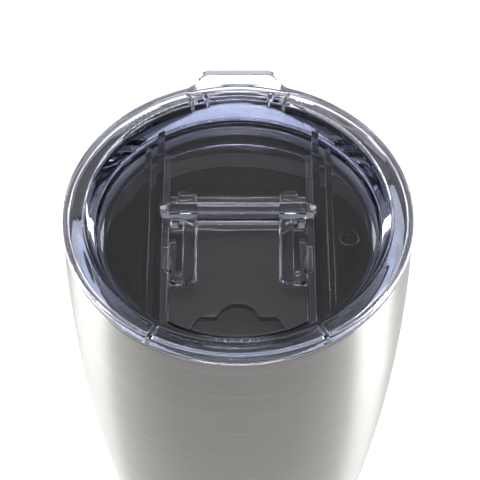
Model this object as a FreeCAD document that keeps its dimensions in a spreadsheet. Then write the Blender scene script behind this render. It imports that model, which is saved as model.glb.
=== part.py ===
import FreeCAD, Part
import math
import os
import Sketcher

# Vacuum insulated steel tumbler with a clear press-in lid and a sliding closure, in millimetres.
# Row frame: origin at the centre of the base, +Z up, the drinking side towards -Y.
# Lid parts are drawn in the lid's own frame, with z = 0 on top of its flange, and placed at the
# height of that flange.
SIZES = {
    # Steel body, heights from the base
    "overall_height": 200.0,
    "rim_height": 195.4,
    "rim_round": 0.45,
    "steel": 0.5,
    "widest_radius": 51.12,
    "widest_height": 182.0,
    "belly_radius": 700.0,
    "waist_top": 65.0,
    "waist_bottom": 22.0,
    "waist_bottom_radius": 37.25,
    "waist_radius": 297.0,
    "base_radius": 36.85,
    "base_corner": 3.0,
    "foot_inner_radius": 31.0,
    # Inner vessel
    "liner_gap": 3.7,
    "liner_floor": 10.0,
    "liner_corner": 7.0,
    "mouth_radius": 48.9,
    "shoulder_top": 170.5,
    "shoulder_bottom": 166.0,
    "lip_depth": 1.4,
    # Bottom of the vacuum space
    "bottom_weld_radius": 33.6,
    "bottom_step_radius": 31.2,
    "bottom_rise": 2.4,
    "seal_hole_radius": 0.9,
    "bead_radius": 2.3,
    "bead_foot_radius": 1.15,
    "bead_height": 1.2,
    "getter_radius": 4.5,
    "getter_thick": 2.0,
    "getter_off_axis": 14.0,
    "clip_thick": 0.3,
    "clip_edge": 1.6,
    "cover_radius": 30.4,
    # Lid, heights below the top of its flange
    "flange_radius": 51.0,
    "flange_thick": 4.5,
    "flange_round": 0.9,
    "flange_top_thick": 2.0,
    "flange_wall_radius": 49.3,
    "flange_rib_thick": 1.0,
    "flange_rib_gap": 0.3,
    "flange_rib_root": 0.2,
    "well_edge_round": 0.5,
    "flange_inner_radius": 44.9,
    "lip_radius": 43.5,
    "lip_drop": 2.6,
    "well_wall_radius": 42.3,
    "well_wall_drop": 5.6,
    "floor_radius": 38.0,
    "floor_drop": 10.0,
    "floor_thick": 2.1,
    "well_curve": 5.0,
    "skirt_drop": 21.0,
    "skirt_radius": 45.2,
    "skirt_wall": 2.0,
    "seat_rib_radius": 46.8,
    "seat_rib_thick": 1.0,
    "seat_top": 10.6,
    "seat_bottom": 16.2,
    "tab_reach": 54.6,
    "tab_half_width": 8.8,
    "tab_flare_x": 12.2,
    "tab_flare_y": 51.4,
    "tab_root_x": 15.8,
    "tab_root_y": 47.2,
    "tab_inner_y": 46.0,
    "tab_slope_y": 48.0,
    "tab_raise": 1.0,
    "tab_underside": 3.2,
    "tab_flare_radius": 4.2,
    "tab_root_radius": 5.46,
    # Channel in the lid's well
    "rail_inner_x": 22.2,
    "rail_outer_x": 24.2,
    "rail_middle_x": 23.2,
    "rail_top": 5.7,
    "rail_end_y": 36.5,
    "rail_lip_x": 20.2,
    "rail_lip_bottom": 7.1,
    "rail_lip_back_y": 26.7,
    "rail_lip_front_y": 37.6,
    "rib_inner_x": 26.2,
    "rib_outer_x": 27.8,
    "rib_height": 1.7,
    "rib_end_y": 31.0,
    # Drinking opening, with a round bump for a straw
    "opening_front_radius": 37.2,
    "opening_corner_x": 13.6,
    "opening_side_x": 11.9,
    "opening_side_y": 32.0,
    "opening_shoulder_x": 9.95,
    "opening_shoulder_y": 31.0,
    "opening_shoulder_round": 2.4,
    "opening_neck_x": 7.2,
    "opening_bump_x": 5.6,
    "opening_bump_y": 30.0,
    "opening_neck_round": 1.5,
    "opening_bump_radius": 6.1,
    # Gasket
    "gasket_band_radius": 46.7,
    "gasket_fin_radius": 48.6,
    "gasket_fin_thick": 0.8,
    "gasket_fin_sweep": 0.7,
    "gasket_tip_sweep": 0.49,
    "gasket_upper_fin": 11.4,
    "gasket_lower_fin": 14.1,
    # Slider, drawn closed
    "slider_lift": 0.3,
    "slider_half_width": 19.9,
    "slider_front_radius": 38.7,
    "slider_back_y": 12.3,
    "plate_thick": 1.6,
    "pad_inner_x": 12.1,
    "pad_front_y": 20.8,
    "pad_height": 2.5,
    "pad_corner": 2.0,
    "slot_inner_x": 16.1,
    "slot_front_y": 17.2,
    "slot_back_y": 1.0,
    "finger_inner_x": 17.9,
    "finger_back_y": 5.4,
    "hook_outer_x": 21.6,
    "hook_front_y": 15.6,
    "hook_back_y": 7.0,
    "hook_height": 2.2,
    "notch_inner_x": 17.6,
    "notch_front_y": 8.2,
    "ridge_front_y": 1.6,
    "ridge_back_y": 6.0,
    "ridge_top": 2.5,
    "ridge_crown_x": 17.5,
    "ridge_end_x": 22.9,
    "ridge_end_top": 3.9,
    "ridge_end_bottom": 5.4,
    "ridge_crown_radius": 10.0,
    "pad_edge_round": 0.7,
    "ridge_edge_round": 1.3,
    # Plain moulded ring on the lid's floor
    "mark_x": 32.6,
    "mark_y": 2.0,
    "mark_radius": 2.6,
    "mark_wire": 0.3,
    # How far an added feature reaches into what it joins, and how far a cut runs past the material
    "overlap": 0.5,
    "cut_margin": 1.0,
}

# Directions of the ribs under the flange, from +X: the drinking side's two, then four by the tab
RIB_DEGREES = (-120, -60, 72, 78, 102, 108)


class Size:
    """A length that keeps both its value and the expression that gives it from the sheet."""

    def __init__(self, text, value):
        self.text = text
        self.value = value

    def combine(self, other, sign, value):
        other_text = other.text if isinstance(other, Size) else str(other)
        return Size(f"({self.text} {sign} {other_text})", value)

    def __add__(self, other):
        return self.combine(other, "+", self.value + number(other))

    def __sub__(self, other):
        return self.combine(other, "-", self.value - number(other))

    def __mul__(self, other):
        return self.combine(other, "*", self.value * number(other))

    def __neg__(self):
        return Size(f"(0 - {self.text})", -self.value)

    def root(self):
        return Size(f"sqrt({self.text})", math.sqrt(self.value))


def number(size):
    return size.value if isinstance(size, Size) else size


class Sheet:
    """The document's spreadsheet, read as Size attributes."""

    def __init__(self, document):
        self.cells = document.addObject("Spreadsheet::Sheet", "Sizes")
        for row, (alias, value) in enumerate(SIZES.items(), start=1):
            self.cells.set(f"A{row}", alias)
            self.cells.set(f"B{row}", str(value))
            self.cells.setAlias(f"B{row}", alias)
        document.recompute()

    def __getattr__(self, alias):
        return Size(f"Sizes.{alias}", SIZES[alias])


doc = FreeCAD.newDocument("Tumbler")
s = Sheet(doc)
ZERO = Size("0", 0.0)


def new_body(label, height=None):
    """An empty body whose frame stands at a height above the base."""
    body = doc.addObject("PartDesign::Body", label)
    body.Label = label
    if height is not None:
        body.setExpression("Placement.Base.z", height.text)
    return body


def origin_plane(body, role):
    return next(f for f in body.Origin.OriginFeatures if f.Role == role)


def arc_through(start, end, radius):
    """The short arc from start to end, anticlockwise for a positive radius."""
    first, last = (start, end) if radius > 0 else (end, start)
    chord = last - first
    half = chord.Length / 2
    left = FreeCAD.Vector(-chord.y, chord.x, 0).normalize()
    centre = (first + last) / 2 + left * math.sqrt(radius * radius - half * half)
    turn = [math.atan2((p - centre).y, (p - centre).x) for p in (first, last)]
    circle = Part.Circle(centre, FreeCAD.Vector(0, 0, 1), abs(radius))
    return Part.ArcOfCircle(circle, turn[0], turn[1])


def add_loop(sketch, corners):
    """Adds a closed outline of corners: (across, up), with a radius after them where an arc leaves."""
    points = [FreeCAD.Vector(number(c[0]), number(c[1]), 0) for c in corners]
    edges = []
    for i, corner in enumerate(corners):
        start, end = points[i], points[(i + 1) % len(points)]
        if len(corner) == 3:
            edge = sketch.addGeometry(arc_through(start, end, corner[2].value), False)
            edges.append((edge, 1, 2) if corner[2].value > 0 else (edge, 2, 1))
        else:
            edges.append((sketch.addGeometry(Part.LineSegment(start, end), False), 1, 2))
    for i, corner in enumerate(corners):
        edge, near, _ = edges[i]
        before, _, far = edges[i - 1]
        sketch.addConstraint(Sketcher.Constraint("Coincident", before, far, edge, near))
        place_point(sketch, "DistanceX", edge, near, corner[0], -2)
        place_point(sketch, "DistanceY", edge, near, corner[1], -1)
        if len(corner) == 3:
            radius = corner[2] if corner[2].value > 0 else -corner[2]
            index = sketch.addConstraint(Sketcher.Constraint("Radius", edge, radius.value))
            sketch.setExpression(f"Constraints[{index}]", radius.text)


def place_point(sketch, kind, edge, end, size, axis):
    if number(size) == 0:
        sketch.addConstraint(Sketcher.Constraint("PointOnObject", edge, end, axis))
        return
    index = sketch.addConstraint(Sketcher.Constraint(kind, -1, 1, edge, end, size.value))
    sketch.setExpression(f"Constraints[{index}]", size.text)


def new_sketch(body, name, role, loops, offset=None):
    """A sketch of closed outlines on one of the body's own planes, moved along its normal."""
    sketch = body.newObject("Sketcher::SketchObject", name)
    sketch.AttachmentSupport = [(origin_plane(body, role), "")]
    sketch.MapMode = "FlatFace"
    if offset is not None:
        sketch.setExpression("AttachmentOffset.Base.z", offset.text)
    for corners in loops:
        add_loop(sketch, corners)
    return sketch


def revolve(body, name, corners):
    """A full turn of an outline in the XZ plane about the body's axis."""
    sketch = new_sketch(body, name + "_outline", "XZ_Plane", [corners])
    feature = body.newObject("PartDesign::Revolution", name)
    feature.Profile = sketch
    feature.ReferenceAxis = (sketch, ["V_Axis"])
    feature.Angle = 360
    doc.recompute()
    return feature


def extrude(body, name, loops, low, high, role="XY_Plane"):
    """Adds material between two heights along a plane's normal."""
    feature_sketch = new_sketch(body, name + "_outline", role, loops, low)
    feature = body.newObject("PartDesign::Pad", name)
    feature.Profile = feature_sketch
    feature.setExpression("Length", (high - low).text)
    doc.recompute()
    return feature


def cut(body, name, loops, low, high, role="XY_Plane"):
    """Takes material away between two heights, and makes sure that some is gone."""
    before = body.Shape.Volume
    feature_sketch = new_sketch(body, name + "_outline", role, loops, high)
    feature = body.newObject("PartDesign::Pocket", name)
    feature.Profile = feature_sketch
    feature.setExpression("Length", (high - low).text)
    doc.recompute()
    if body.Shape.Volume > before - 1e-3:
        raise RuntimeError(f"{name} cuts nothing")
    return feature


def round_edges(body, name, radius, wanted):
    """Fillets the edges of the body that wanted() picks."""
    base = body.Tip
    edges = [f"Edge{i}" for i, edge in enumerate(base.Shape.Edges, start=1) if wanted(edge)]
    if not edges:
        raise RuntimeError(f"{name} finds no edge")
    feature = body.newObject("PartDesign::Fillet", name)
    feature.Base = (base, edges)
    feature.setExpression("Radius", radius.text)
    doc.recompute()
    return feature


def is_ring(radius, height):
    """Picks round edges about the axis with a radius and a height."""

    def check(edge):
        curve = edge.Curve
        return (
            isinstance(curve, Part.Circle)
            and abs(curve.Radius - number(radius)) < 0.01
            and abs(curve.Center.z - number(height)) < 0.01
            and abs(curve.Center.x) + abs(curve.Center.y) < 0.01
        )

    return check


def lies_at(height):
    """Picks edges that lie flat at a height."""

    def check(edge):
        box = edge.BoundBox
        return abs(box.ZMax - height.value) < 0.01 and abs(box.ZMin - height.value) < 0.01

    return check


def rectangle(left, right, front, back):
    return [(left, front), (right, front), (right, back), (left, back)]


def both_sides(corners):
    """An outline and its mirror image across the YZ plane, both turning the same way."""
    mirrored = [
        (-corners[i][0], corners[i][1]) + corners[i - 1][2:] for i in reversed(range(len(corners)))
    ]
    return [corners, mirrored]


def belly(height, inset):
    """The body's radius at a height on its long convex curve."""
    rise = height - s.widest_height
    across = (s.belly_radius * s.belly_radius - rise * rise).root()
    return s.widest_radius - inset - s.belly_radius + across


# --- Steel body -----------------------------------------------------------------------------


def outer_shell():
    body = new_body("outer_shell")
    steel = s.steel
    top = s.rim_height
    outer = [
        (s.foot_inner_radius, ZERO),
        (s.base_radius - s.base_corner, ZERO, s.base_corner),
        (s.base_radius, s.base_corner),
        (s.waist_bottom_radius, s.waist_bottom, -s.waist_radius),
        (belly(s.waist_top, 0), s.waist_top, s.belly_radius),
        (belly(top, 0), top),
    ]
    inner = [
        (belly(top, steel), top, -s.belly_radius),
        (belly(s.waist_top, steel), s.waist_top, s.waist_radius),
        (s.waist_bottom_radius - steel, s.waist_bottom),
        (s.base_radius - steel, s.base_corner, -(s.base_corner - steel)),
        (s.base_radius - s.base_corner, steel),
        (s.foot_inner_radius, steel),
    ]
    revolve(body, "wall", outer + inner)
    round_edges(body, "rim_edge", s.rim_round, is_ring(belly(top, 0), top))
    return body


def inner_liner():
    body = new_body("inner_liner")
    steel = s.steel
    top = s.rim_height
    lip_under = top - s.lip_depth
    gap = s.liner_gap
    corner_radius = s.waist_bottom_radius - gap - s.liner_corner
    corner_top = s.liner_floor + s.liner_corner
    inside = [
        (ZERO, s.liner_floor),
        (corner_radius, s.liner_floor, s.liner_corner),
        (corner_radius + s.liner_corner, corner_top),
        (s.waist_bottom_radius - gap, s.waist_bottom, -s.waist_radius),
        (belly(s.waist_top, gap), s.waist_top, s.belly_radius),
        (belly(s.shoulder_bottom, gap), s.shoulder_bottom),
        (s.mouth_radius, s.shoulder_top),
        (s.mouth_radius, top),
    ]
    outside = [
        (belly(top, steel), top),
        (belly(lip_under, steel), lip_under),
        (s.mouth_radius + steel, lip_under),
        (s.mouth_radius + steel, s.shoulder_top),
        (belly(s.shoulder_bottom, gap - steel), s.shoulder_bottom, -s.belly_radius),
        (belly(s.waist_top, gap - steel), s.waist_top, s.waist_radius),
        (s.waist_bottom_radius - gap + steel, s.waist_bottom),
        (corner_radius + s.liner_corner + steel, corner_top, -(s.liner_corner + steel)),
        (corner_radius, s.liner_floor - steel),
        (ZERO, s.liner_floor - steel),
    ]
    revolve(body, "wall", inside + outside)
    round_edges(body, "rim_edge", s.rim_round, is_ring(s.mouth_radius, top))
    return body


def outer_bottom():
    """The plate welded into the foot of the shell, stepped up to leave a recess below it."""
    body = new_body("outer_bottom")
    steel = s.steel
    raised = steel + s.bottom_rise
    revolve(
        body,
        "plate",
        [
            (s.seal_hole_radius, raised),
            (s.bottom_step_radius - steel, raised),
            (s.bottom_step_radius - steel, steel),
            (s.bottom_weld_radius, steel),
            (s.bottom_weld_radius, steel * 2),
            (s.bottom_step_radius, steel * 2),
            (s.bottom_step_radius, raised + steel),
            (s.seal_hole_radius, raised + steel),
        ],
    )
    return body


def seal_bead():
    """Glass solder that closes the evacuation hole, with a plug up the hole."""
    body = new_body("seal_bead")
    raised = s.steel + s.bottom_rise
    revolve(
        body,
        "bead",
        [
            (ZERO, raised - s.bead_height),
            (s.bead_foot_radius, raised - s.bead_height),
            (s.bead_radius, raised),
            (s.seal_hole_radius, raised),
            (s.seal_hole_radius, raised + s.steel),
            (ZERO, raised + s.steel),
        ],
    )
    return body


def base_cover():
    """The pressed disc that hides the seal, flush with the foot ring."""
    body = new_body("base_cover")
    steel = s.steel
    high = steel + s.bottom_rise
    edge = s.cover_radius
    revolve(
        body,
        "pan",
        [
            (ZERO, ZERO),
            (edge - steel, ZERO, steel),
            (edge, steel),
            (edge, high),
            (edge - steel, high),
            (edge - steel, steel),
            (ZERO, steel),
        ],
    )
    return body


def getter():
    """The pill that keeps the vacuum, held on top of the bottom plate."""
    pill = doc.addObject("Part::Cylinder", "getter")
    pill.Label = "getter"
    pill.setExpression("Radius", s.getter_radius.text)
    pill.setExpression("Height", s.getter_thick.text)
    pill.setExpression("Placement.Base.x", s.getter_off_axis.text)
    pill.setExpression("Placement.Base.z", (s.steel * 2 + s.bottom_rise).text)
    return pill


def getter_clip():
    """A thin steel cap over the getter, spot-welded to the bottom plate by its brim."""
    body = new_body("getter_clip", s.steel * 2 + s.bottom_rise)
    body.setExpression("Placement.Base.x", s.getter_off_axis.text)
    inner = s.getter_radius
    outer = s.getter_radius + s.clip_thick
    brim = outer + s.clip_edge
    revolve(
        body,
        "cap",
        [
            (inner, ZERO),
            (brim, ZERO),
            (brim, s.clip_thick),
            (outer, s.clip_thick),
            (outer, s.getter_thick + s.clip_thick),
            (ZERO, s.getter_thick + s.clip_thick),
            (ZERO, s.getter_thick),
            (inner, s.getter_thick),
        ],
    )
    return body


# --- Lid --------------------------------------------------------------------------------------


def lid_body():
    body = new_body("lid_body", s.overall_height)
    skirt_inner = s.skirt_radius - s.skirt_wall
    rib = s.seat_rib_thick
    under_floor = s.floor_drop + s.floor_thick
    revolve(
        body,
        "moulding",
        [
            (ZERO, -under_floor),
            (skirt_inner, -under_floor),
            (skirt_inner, -s.skirt_drop),
            (s.skirt_radius, -s.skirt_drop),
            (s.skirt_radius, -s.seat_bottom - rib),
            (s.seat_rib_radius, -s.seat_bottom - rib),
            (s.seat_rib_radius, -s.seat_bottom),
            (s.skirt_radius, -s.seat_bottom),
            (s.skirt_radius, -s.seat_top),
            (s.seat_rib_radius, -s.seat_top),
            (s.seat_rib_radius, -s.seat_top + rib),
            (s.skirt_radius, -s.seat_top + rib),
            (s.skirt_radius, -s.flange_top_thick),
            (s.flange_wall_radius, -s.flange_top_thick),
            (s.flange_wall_radius, -s.flange_thick),
            (s.flange_radius, -s.flange_thick),
            (s.flange_radius, ZERO),
            (s.flange_inner_radius, ZERO),
            (s.lip_radius, -s.lip_drop),
            (s.well_wall_radius, -s.well_wall_drop, -s.well_curve),
            (s.floor_radius, -s.floor_drop),
            (ZERO, -s.floor_drop),
        ],
    )
    round_edges(body, "flange_edge", s.flange_round, is_ring(s.flange_radius, ZERO))
    round_edges(body, "well_edge", s.well_edge_round, is_ring(s.flange_inner_radius, ZERO))
    flange_ribs(body)
    thumb_tab(body)
    channel(body)
    drinking_opening(body)
    mould_mark(body)
    return body


def flange_ribs(body):
    """Thin radial ribs across the hollow under the flange."""
    inner = s.skirt_radius - s.overlap
    outer = s.flange_wall_radius + s.overlap
    loops = []
    for degrees in RIB_DEGREES:
        along = (math.cos(math.radians(degrees)), math.sin(math.radians(degrees)))
        half = s.flange_rib_thick * 0.5
        corners = [(inner, -half), (outer, -half), (outer, half), (inner, half)]
        loops.append([(r * along[0] - w * along[1], r * along[1] + w * along[0]) for r, w in corners])
    low = -s.flange_thick + s.flange_rib_gap
    extrude(body, "flange_ribs", loops, low, -s.flange_top_thick + s.flange_rib_root)


def thumb_tab(body):
    """The tab at the back that lifts the lid off, its top sloped down to the well."""
    flare = s.tab_flare_radius
    root = s.tab_root_radius
    extrude(
        body,
        "thumb_tab",
        [
            [
                (-s.tab_root_x, s.tab_inner_y),
                (s.tab_root_x, s.tab_inner_y),
                (s.tab_root_x, s.tab_root_y, -root),
                (s.tab_flare_x, s.tab_flare_y, flare),
                (s.tab_half_width, s.tab_reach),
                (-s.tab_half_width, s.tab_reach, flare),
                (-s.tab_flare_x, s.tab_flare_y, -root),
                (-s.tab_root_x, s.tab_root_y),
            ]
        ],
        -s.tab_underside,
        s.tab_raise,
    )
    margin = s.cut_margin
    slope = [
        (s.tab_inner_y - margin, ZERO),
        (s.tab_slope_y, s.tab_raise),
        (s.tab_slope_y, s.tab_raise + margin),
        (s.tab_inner_y - margin, s.tab_raise + margin),
    ]
    side = s.tab_root_x + margin
    cut(body, "tab_slope", [slope], -side, side, role="YZ_Plane")


def channel(body):
    """Two rails with inward lips that guide the slider, and a low rib outside each."""
    floor = -s.floor_drop - s.overlap
    extrude(
        body,
        "rails",
        both_sides(rectangle(s.rail_inner_x, s.rail_outer_x, -s.rail_end_y, s.rail_end_y)),
        floor,
        -s.rail_top,
    )
    extrude(
        body,
        "rail_lips",
        both_sides(rectangle(s.rail_lip_x, s.rail_middle_x, -s.rail_lip_front_y, s.rail_lip_back_y)),
        -s.rail_lip_bottom,
        -s.rail_top,
    )
    extrude(
        body,
        "outer_ribs",
        both_sides(rectangle(s.rib_inner_x, s.rib_outer_x, -s.rib_end_y, s.rib_end_y)),
        floor,
        -s.floor_drop + s.rib_height,
    )


def drinking_opening(body):
    """A wide mouth that ends in a round bump, where a straw stands."""
    front = s.opening_front_radius
    corner_y = -(front * front - s.opening_corner_x * s.opening_corner_x).root()
    outline = [
        (s.opening_corner_x, corner_y),
        (s.opening_side_x, -s.opening_side_y, s.opening_shoulder_round),
        (s.opening_shoulder_x, -s.opening_shoulder_y),
        (s.opening_neck_x, -s.opening_shoulder_y, -s.opening_neck_round),
        (s.opening_bump_x, -s.opening_bump_y, s.opening_bump_radius),
        (-s.opening_bump_x, -s.opening_bump_y, -s.opening_neck_round),
        (-s.opening_neck_x, -s.opening_shoulder_y),
        (-s.opening_shoulder_x, -s.opening_shoulder_y, s.opening_shoulder_round),
        (-s.opening_side_x, -s.opening_side_y),
        (-s.opening_corner_x, corner_y, front),
    ]
    under_floor = -s.floor_drop - s.floor_thick
    margin = s.cut_margin
    cut(body, "drinking_opening", [outline], under_floor - margin, -s.floor_drop + margin)


def mould_mark(body):
    """A plain raised ring on the floor, beside the channel."""
    ring = body.newObject("PartDesign::AdditiveTorus", "mould_mark")
    ring.setExpression("Radius1", s.mark_radius.text)
    ring.setExpression("Radius2", s.mark_wire.text)
    ring.setExpression("Placement.Base.x", s.mark_x.text)
    ring.setExpression("Placement.Base.y", (-s.mark_y).text)
    ring.setExpression("Placement.Base.z", (-s.floor_drop).text)
    doc.recompute()


def lid_gasket():
    """A silicone band with two upswept fins that wipe the inside of the mouth."""
    body = new_body("lid_gasket", s.overall_height)
    band = s.gasket_band_radius
    tip = s.gasket_fin_radius
    outline = [(s.skirt_radius, -s.seat_bottom), (band, -s.seat_bottom)]
    for root in (-s.gasket_lower_fin, -s.gasket_upper_fin):
        outline += [
            (band, root - s.gasket_fin_thick),
            (tip, root - s.gasket_fin_thick + s.gasket_fin_sweep),
            (tip, root + s.gasket_tip_sweep),
            (band, root),
        ]
    outline += [(band, -s.seat_top), (s.skirt_radius, -s.seat_top)]
    revolve(body, "band", outline)
    return body


# --- Slider -----------------------------------------------------------------------------------


def slider():
    body = new_body("slider", s.overall_height)
    under = -s.floor_drop + s.slider_lift
    deck = under + s.plate_thick
    pad_top = deck + s.pad_height
    half = s.slider_half_width
    front = s.slider_front_radius
    side_y = -(front * front - half * half).root()
    plate = [(-half, side_y, front), (half, side_y), (half, s.slider_back_y), (-half, s.slider_back_y)]
    extrude(body, "plate", [plate], under, deck)

    corner = s.pad_corner
    pad = [
        (s.pad_inner_x + corner, -s.pad_front_y),
        (half, -s.pad_front_y),
        (half, s.slider_back_y),
        (s.pad_inner_x + corner, s.slider_back_y, corner),
        (s.pad_inner_x, s.slider_back_y - corner),
        (s.pad_inner_x, -s.pad_front_y + corner, corner),
    ]
    extrude(body, "pads", both_sides(pad), deck, pad_top)
    round_edges(body, "pad_edges", s.pad_edge_round, lies_at(pad_top))

    margin = s.cut_margin
    side = half + margin
    slot = rectangle(s.slot_inner_x, side, -s.slot_front_y, s.slot_back_y)
    cut(body, "slots", both_sides(slot), under - margin, pad_top + margin)
    notch = rectangle(s.notch_inner_x, side, s.notch_front_y, s.slider_back_y + margin)
    cut(body, "notches", both_sides(notch), deck, pad_top + margin)

    finger = rectangle(s.finger_inner_x, half, -s.slot_front_y - margin, -s.finger_back_y)
    extrude(body, "fingers", both_sides(finger), under, pad_top)
    hook = rectangle(half - s.overlap, s.hook_outer_x, -s.hook_front_y, -s.hook_back_y)
    extrude(body, "hooks", both_sides(hook), under, under + s.hook_height)
    thumb_ridge(body, deck)
    return body


def thumb_ridge(body, deck):
    """The raised bar across the slider that a thumb pushes, its ends lying over the rails."""
    half = s.slider_half_width
    foot = deck - s.overlap
    outline = [
        (-half, foot),
        (half, foot),
        (half, -s.ridge_end_bottom),
        (s.ridge_end_x, -s.ridge_end_bottom),
        (s.ridge_end_x, -s.ridge_end_top, s.ridge_crown_radius),
        (s.ridge_crown_x, -s.ridge_top),
        (-s.ridge_crown_x, -s.ridge_top, s.ridge_crown_radius),
        (-s.ridge_end_x, -s.ridge_end_top),
        (-s.ridge_end_x, -s.ridge_end_bottom),
        (-half, -s.ridge_end_bottom),
    ]
    extrude(body, "thumb_ridge", [outline], -s.ridge_back_y, -s.ridge_front_y, role="XZ_Plane")

    def along_top(edge):
        box = edge.BoundBox
        flat = box.YLength < 0.01 and box.ZMin > -s.ridge_end_top.value - 0.01
        return flat and min(abs(box.YMin - y.value) for y in (s.ridge_front_y, s.ridge_back_y)) < 0.01

    round_edges(body, "ridge_edges", s.ridge_edge_round, along_top)


def finished_parts():
    """Builds every part of the tumbler."""
    return [
        outer_shell(),
        inner_liner(),
        outer_bottom(),
        seal_bead(),
        base_cover(),
        getter(),
        getter_clip(),
        lid_body(),
        lid_gasket(),
        slider(),
    ]


parts = finished_parts()
doc.recompute()
for item in doc.Objects:
    if "Invalid" in item.State or "Error" in item.State:
        raise RuntimeError(f"{item.Name} is {item.State}")
for part in parts:
    if part.Shape.isNull() or not part.Shape.isValid() or len(part.Shape.Solids) != 1:
        raise RuntimeError(f"{part.Label} has no single valid solid")

os.makedirs("parts", exist_ok=True)
for part in parts:
    part.Shape.exportStep(f"parts/{part.Label}.step")
    box = part.Shape.optimalBoundingBox(False)
    print(f"{part.Label:14s} {part.Shape.Volume / 1000:8.2f} cm3  z {box.ZMin:.2f} to {box.ZMax:.2f}")
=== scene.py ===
import math

import bmesh
import bpy
import numpy as np
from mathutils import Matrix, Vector


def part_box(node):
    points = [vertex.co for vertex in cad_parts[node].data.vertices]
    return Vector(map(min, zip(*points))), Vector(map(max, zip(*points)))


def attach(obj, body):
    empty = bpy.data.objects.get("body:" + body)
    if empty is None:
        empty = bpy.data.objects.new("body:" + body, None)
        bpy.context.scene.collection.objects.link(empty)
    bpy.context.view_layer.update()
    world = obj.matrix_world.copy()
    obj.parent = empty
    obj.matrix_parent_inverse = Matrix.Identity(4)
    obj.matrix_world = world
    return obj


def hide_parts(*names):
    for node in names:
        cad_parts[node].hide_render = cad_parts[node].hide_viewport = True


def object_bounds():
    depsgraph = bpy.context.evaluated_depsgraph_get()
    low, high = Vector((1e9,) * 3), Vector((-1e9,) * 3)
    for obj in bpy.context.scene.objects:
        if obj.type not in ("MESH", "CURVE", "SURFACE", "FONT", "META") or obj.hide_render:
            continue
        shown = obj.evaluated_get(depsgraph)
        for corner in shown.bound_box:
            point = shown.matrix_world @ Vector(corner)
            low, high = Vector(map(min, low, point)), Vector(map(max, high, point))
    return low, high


# The looks of a vacuum insulated steel tumbler with a clear lid and slider, in metres, in the
# frame of its CAD model: the base at the origin, +Z up, the drinking side towards -Y.
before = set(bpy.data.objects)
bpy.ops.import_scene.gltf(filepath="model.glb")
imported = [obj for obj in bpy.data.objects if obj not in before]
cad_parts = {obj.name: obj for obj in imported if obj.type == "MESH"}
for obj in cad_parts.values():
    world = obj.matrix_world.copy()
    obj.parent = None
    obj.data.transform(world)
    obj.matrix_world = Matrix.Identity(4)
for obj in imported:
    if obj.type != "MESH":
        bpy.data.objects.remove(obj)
cad_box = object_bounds()

MM = 0.001
TAB_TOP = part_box("lid_body")[1].z
FLANGE_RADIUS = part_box("lid_body")[1].x

# Which chords belong to a turned ring, and may be halved.
LEAST_RING = 4 * MM
RADIUS_SLACK = 0.002 * MM
LEVEL_SLACK = 0.001 * MM
LEAST_CHORD = math.radians(1.2)
MOST_CHORD = math.radians(8)

# The rounds of the mouldings. TAB_ROUND is the widest, and bevel weights are shares of it.
EDGE_ROUND = 0.35 * MM
TAB_ROUND = 1.6 * MM
TAB_LEAST_SHARE = 0.4
TAB_GROWS_FROM = FLANGE_RADIUS - 4 * MM
TAB_GROWS_TO = FLANGE_RADIUS + 1 * MM
TOP_SLACK = 0.01 * MM
WELD_DISTANCE = 0.001 * MM
FLAT_ANGLE = math.radians(0.05)
LEAST_ROUND = 0.07 * MM
ROUND_SEGMENTS = 3
ROUND_PASSES = 7
SHARP_DEGREES = 35
NEIGHBOUR_SHARE = 0.42      # of a neighbouring edge's length, that a round may take
STRAIGHT_ON = -0.85         # cosine below which one sharp edge goes on as the next
FOLD_ANGLE = math.radians(150)
FOLD_REACH = 0.25 * MM      # past its own round, how far from a fold an edge is eased
LEAST_FACE = 0.002 * MM * MM
LEAST_SQUARED = 1e-14       # so that no edge's squared length is zero
EASED_SHARE = 0.5

# The silicone seal: its band's two faces inwards from the fins' tips, and its fins.
BAND_INNER = 3.35 * MM
BAND_OUTER = 1.9 * MM
FIN_SHARES = (0.375, 0.857)     # of the seal's height, where the fins' roots are
FIN_THICK = 0.8 * MM
FIN_THINNING = 0.65             # of its thickness, that a fin loses towards its tip
FIN_SWEEP = 0.7 * MM
FIN_POINTS = 7
LATHE_TURNS = 240
LATHE_SHARP_DEGREES = 40

# The middle range of noise, which colours and roughness are spread over.
NOISE_LOW, NOISE_HIGH = 0.3, 0.7

FLOOR_HALF = 3.0
FLOOR_GAP = 0.5 * MM
ROOM_LIGHT = 0.285
LID_POINT = (0, 0, 0.19)
WAIST_POINT = (0, 0, 0.13)
CAMERA_PLACE = (0.00056, -0.3509, 0.6387)
CAMERA_TILT = math.radians(37.804)
CAMERA_SENSOR = 36
CAMERA_LENS = 145.46


def add(name, data):
    """A new object in the scene."""
    made = bpy.data.objects.new(name, data)
    bpy.context.scene.collection.objects.link(made)
    return made


# --- Node helpers -------------------------------------------------------------------------------


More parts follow.
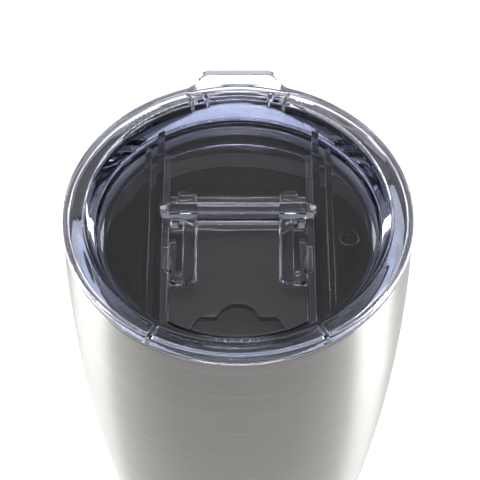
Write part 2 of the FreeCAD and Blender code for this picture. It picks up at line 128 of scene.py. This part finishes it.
class Material:
    """A node material with short ways to add nodes, links and constant values."""

    def __init__(self, name):
        self.data = bpy.data.materials.new(name)
        self.data.use_nodes = True
        self.tree = self.data.node_tree
        self.shader = next(n for n in self.tree.nodes if n.type == "BSDF_PRINCIPLED")
        self.output = next(n for n in self.tree.nodes if n.type == "OUTPUT_MATERIAL")

    def node(self, kind, inputs=None, **settings):
        """A new node, its inputs linked or set and its own settings made."""
        made = self.tree.nodes.new("ShaderNode" + kind)
        for key, value in settings.items():
            setattr(made, key, value)
        for key, value in (inputs or {}).items():
            self.feed(made.inputs[key], value)
        return made

    def feed(self, socket, value):
        """Links a socket to another, or sets its value."""
        if isinstance(value, bpy.types.NodeSocket):
            self.tree.links.new(value, socket)
        else:
            socket.default_value = value

    def set(self, **values):
        """Sets or links the shader's inputs, their names with _ for spaces."""
        for key, value in values.items():
            self.feed(self.shader.inputs[key.replace("_", " ")], value)

    def noise(self, scale, detail=2.0, stretch=(1, 1, 1)):
        """Noise over object space, drawn out along the axes where stretch is small."""
        place = self.node("TexCoord").outputs["Object"]
        scaled = self.node("Mapping", {"Vector": place, "Scale": stretch}).outputs[0]
        return self.node("TexNoise", {"Vector": scaled, "Scale": scale, "Detail": detail}).outputs["Fac"]

    def spread(self, value, low, high):
        """Maps a noise value from its middle range to low..high."""
        inputs = {"Value": value, "From Min": NOISE_LOW, "From Max": NOISE_HIGH,
                  "To Min": low, "To Max": high}
        return self.node("MapRange", inputs).outputs[0]

    def tint(self, value, dark, light):
        """A colour between dark and light."""
        ramp = self.node("ValToRGB", {"Fac": value})
        for stop, place, colour in zip(ramp.color_ramp.elements, (NOISE_LOW, NOISE_HIGH), (dark, light)):
            stop.position = place
            stop.color = (*colour, 1)
        return ramp.outputs[0]

    def bump(self, height, strength, distance):
        """A bumped normal."""
        inputs = {"Height": height, "Strength": strength, "Distance": distance}
        return self.node("Bump", inputs).outputs[0]


# --- Materials ----------------------------------------------------------------------------------


def brushed_steel(name, dark, light, roughness, anisotropic):
    """Steel brushed round the Z axis: fine level scratches that draw highlights out along Z."""
    m = Material(name)
    scratches = m.noise(900, 3, (0.012, 0.012, 6.0))
    patches = m.noise(35, 2, (0.5, 0.5, 1.0))
    wear = m.node("Math", {0: scratches, 1: patches}, operation="MULTIPLY").outputs[0]
    m.set(
        Base_Color=m.tint(scratches, dark, light),
        Metallic=1.0,
        Roughness=m.spread(wear, roughness - 0.05, roughness + 0.02),
        Anisotropic=anisotropic,
        Anisotropic_Rotation=0.25,
        Specular_Tint=(0.45, 0.45, 0.45, 1),
        Tangent=m.node("Tangent", direction_type="RADIAL", axis="Z").outputs[0],
        Normal=m.bump(scratches, 0.12, 0.05 * MM),
    )
    return m.data


def clear_plastic(name, tint, density, roughness):
    """Clear polished plastic that tints what is seen through it, and lets the lamps' light in."""
    m = Material(name)
    flow = m.noise(60, 2)
    m.set(
        Base_Color=(0.985, 0.99, 1.0, 1),
        Transmission_Weight=1.0,
        IOR=1.54,
        Roughness=m.spread(flow, roughness * 0.6, roughness * 1.4),
        Normal=m.bump(flow, 0.05, 0.1 * MM),
    )
    lamp_ray = m.node("LightPath").outputs["Is Shadow Ray"]
    passing = m.node("BsdfTransparent", {"Color": (0.93, 0.94, 0.97, 1)}).outputs[0]
    mixed = m.node("MixShader", {0: lamp_ray, 1: m.shader.outputs[0], 2: passing}).outputs[0]
    m.tree.links.new(mixed, m.output.inputs["Surface"])
    absorb = m.node("VolumeAbsorption", {"Color": (*tint, 1), "Density": density})
    m.tree.links.new(absorb.outputs[0], m.output.inputs["Volume"])
    return m.data


def silicone(name):
    """Translucent silicone, faintly cloudy."""
    m = Material(name)
    cloud = m.noise(180, 3)
    m.set(
        Base_Color=m.tint(cloud, (0.62, 0.64, 0.70), (0.74, 0.76, 0.80)),
        Transmission_Weight=0.75,
        IOR=1.41,
        Roughness=m.spread(cloud, 0.32, 0.45),
        Normal=m.bump(cloud, 0.1, 0.05 * MM),
    )
    return m.data


def sintered(name):
    """Pressed and sintered powder, dull and grainy."""
    m = Material(name)
    grain = m.noise(2600, 4)
    m.set(
        Base_Color=m.tint(grain, (0.14, 0.14, 0.15), (0.30, 0.30, 0.31)),
        Metallic=0.8,
        Roughness=m.spread(grain, 0.65, 0.85),
        Normal=m.bump(grain, 0.5, 0.08 * MM),
    )
    return m.data


def solder_glass(name):
    """Fused glass solder, dark and glossy with a slight flow."""
    m = Material(name)
    flow = m.noise(700, 2)
    m.set(
        Base_Color=m.tint(flow, (0.03, 0.035, 0.03), (0.07, 0.08, 0.07)),
        Roughness=m.spread(flow, 0.08, 0.2),
        Normal=m.bump(flow, 0.3, 0.1 * MM),
    )
    return m.data


def pale_floor(name):
    """Pale matt paper."""
    m = Material(name)
    paper = m.noise(25, 3)
    m.set(Base_Color=m.tint(paper, (0.90, 0.90, 0.90), (0.92, 0.92, 0.92)), Roughness=0.9)
    return m.data


def give(node, material):
    """Puts a material in every material slot of a CAD node."""
    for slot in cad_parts[node].material_slots:
        slot.material = material


# --- Finer rings --------------------------------------------------------------------------------


def on_ring(edge):
    """True if an edge is a chord of a circle about the Z axis that spans a small angle."""
    a, b = (v.co for v in edge.verts)
    radius, end_radius = math.hypot(a.x, a.y), math.hypot(b.x, b.y)
    if radius < LEAST_RING or abs(radius - end_radius) > RADIUS_SLACK or abs(a.z - b.z) > LEVEL_SLACK:
        return False
    step = 2 * math.asin(min(1, (a - b).length / (2 * radius)))
    return LEAST_CHORD < step < MOST_CHORD


def key_of(point):
    """A point rounded, so that it can be looked up."""
    return tuple(round(c, 7) for c in point)


def round_rings(mesh):
    """Halves the chords of a turned shape and moves the new points out onto their circles."""
    chords = [e for e in mesh.edges if on_ring(e)]
    radius_at = {}
    for edge in chords:
        a, b = (v.co for v in edge.verts)
        radius_at[key_of((a + b) / 2)] = math.hypot(*a.xy)
    made = bmesh.ops.subdivide_edges(mesh, edges=chords, cuts=1)
    for vert in (g for g in made["geom_inner"] if isinstance(g, bmesh.types.BMVert)):
        radius = radius_at.get(key_of(vert.co))
        if radius:
            vert.co.xy = vert.co.xy.normalized() * radius


# --- Rounded edges ------------------------------------------------------------------------------


def plain_round(edge):
    """The round of an ordinary edge."""
    return EDGE_ROUND


def tab_round(edge):
    """A larger round on the thumb tab's top edge, growing from the flange to the tab's end."""
    a, b = (v.co for v in edge.verts)
    if min(a.z, b.z) < TAB_TOP - TOP_SLACK:
        return EDGE_ROUND
    grown = ((a.y + b.y) / 2 - TAB_GROWS_FROM) / (TAB_GROWS_TO - TAB_GROWS_FROM)
    return TAB_ROUND * (TAB_LEAST_SHARE + (1 - TAB_LEAST_SHARE) * min(max(grown, 0), 1))


def room_beside(vert, edge, sharp):
    """How far a round on an edge can reach at one end before it meets something else."""
    along = (edge.other_vert(vert).co - vert.co).normalized()
    room = TAB_ROUND
    for other in vert.link_edges:
        if other is edge:
            continue
        away = (other.other_vert(vert).co - vert.co).normalized()
        goes_on = other in sharp and along.dot(away) < STRAIGHT_ON
        if not goes_on:
            room = min(room, NEIGHBOUR_SHARE * other.calc_length())
    return room


def weigh_rounds(mesh, wanted):
    """Gives each sharp edge a bevel weight: the round it should have, as far as there is room."""
    weight = mesh.edges.layers.float.new("bevel_weight_edge")
    limit = math.radians(SHARP_DEGREES)
    sharp = {e for e in mesh.edges if len(e.link_faces) == 2 and e.calc_face_angle(0) > limit}
    for edge in sharp:
        room = min(room_beside(v, edge, sharp) for v in edge.verts)
        edge[weight] = min(wanted(edge), room) / TAB_ROUND


def folds(piece):
    """Middles of the edges where the rounded mesh turns back on itself."""
    shown = piece.evaluated_get(bpy.context.evaluated_depsgraph_get())
    mesh = bmesh.new()
    mesh.from_mesh(shown.to_mesh())
    shown.to_mesh_clear()
    bmesh.ops.triangulate(mesh, faces=mesh.faces)
    spots = [(e.verts[0].co + e.verts[1].co) / 2 for e in mesh.edges
             if len(e.link_faces) == 2 and e.calc_face_angle(0) > FOLD_ANGLE
             and min(f.calc_area() for f in e.link_faces) > LEAST_FACE]
    mesh.free()
    return np.array([tuple(spot) for spot in spots])


def ease_rounds(piece):
    """Narrows the rounds beside folds, a few times over, and drops the narrowest."""
    count = len(piece.data.edges)
    ends = np.zeros(count * 2, dtype=np.int32)
    piece.data.edges.foreach_get("vertices", ends)
    points = np.zeros(len(piece.data.vertices) * 3, dtype=np.float32)
    piece.data.vertices.foreach_get("co", points)
    start, end = points.reshape(-1, 3)[ends.reshape(-1, 2)].transpose(1, 0, 2)
    way = end - start
    squared = np.maximum((way ** 2).sum(1), LEAST_SQUARED)
    weights = np.zeros(count, dtype=np.float32)
    layer = piece.data.attributes["bevel_weight_edge"]
    layer.data.foreach_get("value", weights)
    for _ in range(ROUND_PASSES):
        spots = folds(piece)
        if not len(spots):
            break
        near = np.zeros(count, dtype=bool)
        for spot in spots:
            share = np.clip(((spot - start) * way).sum(1) / squared, 0, 1)[:, None]
            near |= ((start + share * way - spot) ** 2).sum(1) < (weights * TAB_ROUND + FOLD_REACH) ** 2
        weights[near] *= EASED_SHARE
        weights[weights * TAB_ROUND < LEAST_ROUND] = 0
        layer.data.foreach_set("value", weights)
        piece.data.update()
        piece.update_tag()
        bpy.context.view_layer.update()
    print("rounds", piece.name, "folds left", len(folds(piece)), "edges rounded", int((weights > 0).sum()))


def smooth(mesh, degrees):
    """Smooth shading that keeps edges sharper than an angle."""
    if "custom_normal" in mesh.attributes:
        mesh.attributes.remove(mesh.attributes["custom_normal"])
    mesh.shade_smooth()
    mesh.set_sharp_from_angle(angle=math.radians(degrees))


# --- Pieces that replace CAD nodes --------------------------------------------------------------


def moulded_copy(node, name, body, material, wanted=plain_round):
    """A CAD node's shape with finer rings and its sharp edges rounded, as a moulding has them."""
    piece = add(name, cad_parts[node].data.copy())
    mesh = bmesh.new()
    mesh.from_mesh(piece.data)
    bmesh.ops.remove_doubles(mesh, verts=mesh.verts, dist=WELD_DISTANCE)
    bmesh.ops.dissolve_limit(mesh, angle_limit=FLAT_ANGLE, verts=mesh.verts, edges=mesh.edges)
    round_rings(mesh)
    weigh_rounds(mesh, wanted)
    mesh.to_mesh(piece.data)
    mesh.free()
    bevel = piece.modifiers.new("rounds", "BEVEL")
    bevel.width = TAB_ROUND
    bevel.segments = ROUND_SEGMENTS
    bevel.limit_method = "WEIGHT"
    bevel.use_clamp_overlap = False
    ease_rounds(piece)
    smooth(piece.data, SHARP_DEGREES)
    piece.data.materials.clear()
    piece.data.materials.append(material)
    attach(piece, body)
    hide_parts(node)
    return piece


def lathe(name, body, outline, material):
    """A closed outline of (radius, height) points turned about the Z axis."""
    angles = [2 * math.pi * i / LATHE_TURNS for i in range(LATHE_TURNS)]
    points = [(r * math.cos(a), r * math.sin(a), z) for a in angles for r, z in outline]
    count = len(outline)
    faces = []
    for i in range(LATHE_TURNS):
        here, there = i * count, (i + 1) % LATHE_TURNS * count
        for k in range(count):
            after = (k + 1) % count
            faces.append((here + k, there + k, there + after, here + after))
    mesh = bpy.data.meshes.new(name)
    mesh.from_pydata(points, [], faces)
    mesh.update()
    mesh.materials.append(material)
    smooth(mesh, LATHE_SHARP_DEGREES)
    piece = add(name, mesh)
    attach(piece, body)
    return piece


def fin(root_radius, tip_radius, height):
    """One swept fin of the seal, from below its root round its tip to above its root."""
    under, over = [], []
    for i in range(FIN_POINTS):
        along = i / (FIN_POINTS - 1)
        radius = root_radius + (tip_radius - root_radius) * along
        top = height + FIN_SWEEP * along ** 2
        under.append((radius, top - FIN_THICK * (1 - FIN_THINNING * along)))
        over.append((radius, top))
    return under + over[::-1]


def seal():
    """The silicone band and its two fins, a hair clear of the skirt that carries it."""
    low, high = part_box("lid_gasket")
    tip = high.x
    inner, band = tip - BAND_INNER, tip - BAND_OUTER
    outline = [(inner, low.z), (band, low.z)]
    for share in FIN_SHARES:
        outline += fin(band, tip, low.z + share * (high.z - low.z))
    outline += [(band, high.z), (inner, high.z)]
    piece = lathe("lid_seal", "lid", outline, silicone("clear_silicone"))
    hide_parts("lid_gasket")


# --- Floor, light and camera --------------------------------------------------------------------


def floor():
    """A pale floor just under the base."""
    half, level = FLOOR_HALF, cad_box[0].z - FLOOR_GAP
    corners = [(-half, -half, level), (half, -half, level), (half, half, level), (-half, half, level)]
    mesh = bpy.data.meshes.new("floor")
    mesh.from_pydata(corners, [], [(0, 1, 2, 3)])
    mesh.materials.append(pale_floor("floor_paper"))
    add("floor", mesh)


def softbox(name, place, target, width, height, watts, spread=180):
    """A soft rectangular lamp that points at a place."""
    lamp = bpy.data.lights.new(name, "AREA")
    lamp.shape = "RECTANGLE"
    lamp.size, lamp.size_y, lamp.energy = width, height, watts
    lamp.spread = math.radians(spread)
    holder = add(name, lamp)
    holder.location = place
    holder.rotation_euler = (Vector(target) - Vector(place)).to_track_quat("-Z", "Y").to_euler()
    return holder


def studio():
    """A dim room with lamps behind, beside and above the cup, and none in front of it."""
    world = bpy.data.worlds.new("studio")
    world.use_nodes = True
    sky = next(n for n in world.node_tree.nodes if n.type == "BACKGROUND")
    sky.inputs["Color"].default_value = (1, 1, 1, 1)
    sky.inputs["Strength"].default_value = ROOM_LIGHT
    bpy.context.scene.world = world
    bpy.context.scene.view_settings.view_transform = "Standard"
    # Lights the floor from the cup backwards, and isn't mirrored in the steel or the lid.
    field = softbox("field", (0, 1.19, 0.45), (0, 1.1901, 0), 3.4, 2.5, 34, 20)
    field.visible_glossy = False
    softbox("high_left", (-0.8, 0.1, 0.9), LID_POINT, 0.4, 0.8, 1.0)
    softbox("high_right", (0.8, 0.1, 0.9), LID_POINT, 0.4, 0.8, 0.7)
    softbox("low_left", (-0.36, -0.02, 0.10), WAIST_POINT, 0.2, 0.08, 0.33, 110)
    softbox("low_right", (0.37, -0.09, 0.10), WAIST_POINT, 0.16, 0.08, 0.40, 110)
    softbox("kick_left", (-0.6, 0.65, 0.60), LID_POINT, 0.14, 0.4, 1.2)
    softbox("kick_right", (0.6, 0.65, 0.60), LID_POINT, 0.14, 0.4, 1.2)
    softbox("overhead", (0, 0, 1.25), (0, 0.0001, 0), 0.5, 0.09, 0.4)


def camera():
    """In front and above, looking down at the lid."""
    data = bpy.data.cameras.new("view")
    data.sensor_width = CAMERA_SENSOR
    data.lens = CAMERA_LENS
    holder = add("view", data)
    holder.location = CAMERA_PLACE
    holder.rotation_euler = (CAMERA_TILT, 0, 0)
    bpy.context.scene.camera = holder


# --- The tumbler --------------------------------------------------------------------------------

STEEL = brushed_steel("brushed_steel", (0.46, 0.452, 0.436), (0.56, 0.552, 0.535), 0.36, 0.88)
# The liner is the same steel as the shell; its darker, browner colours are painted shade for the cup's
# shadowed inside.
LINER_SHADED_STEEL = brushed_steel("liner_steel", (0.31, 0.29, 0.268), (0.41, 0.388, 0.36), 0.36, 0.4)
PLATE = brushed_steel("plate_steel", (0.46, 0.46, 0.45), (0.58, 0.58, 0.57), 0.35, 0.3)
CLEAR = clear_plastic("clear_plastic", (0.70, 0.725, 0.88), 130, 0.012)
SLIDER = clear_plastic("slider_plastic", (0.70, 0.725, 0.88), 90, 0.015)

give("outer_shell", STEEL)
give("inner_liner", LINER_SHADED_STEEL)
for plate in ("outer_bottom", "base_cover", "getter_clip"):
    give(plate, PLATE)
give("getter", sintered("getter_alloy"))
give("seal_bead", solder_glass("solder_glass"))

lid = moulded_copy("lid_body", "lid_moulding", "lid", CLEAR, tab_round)
slide = moulded_copy("slider", "slider_moulding", "slider", SLIDER)
seal()

floor()
studio()
camera()
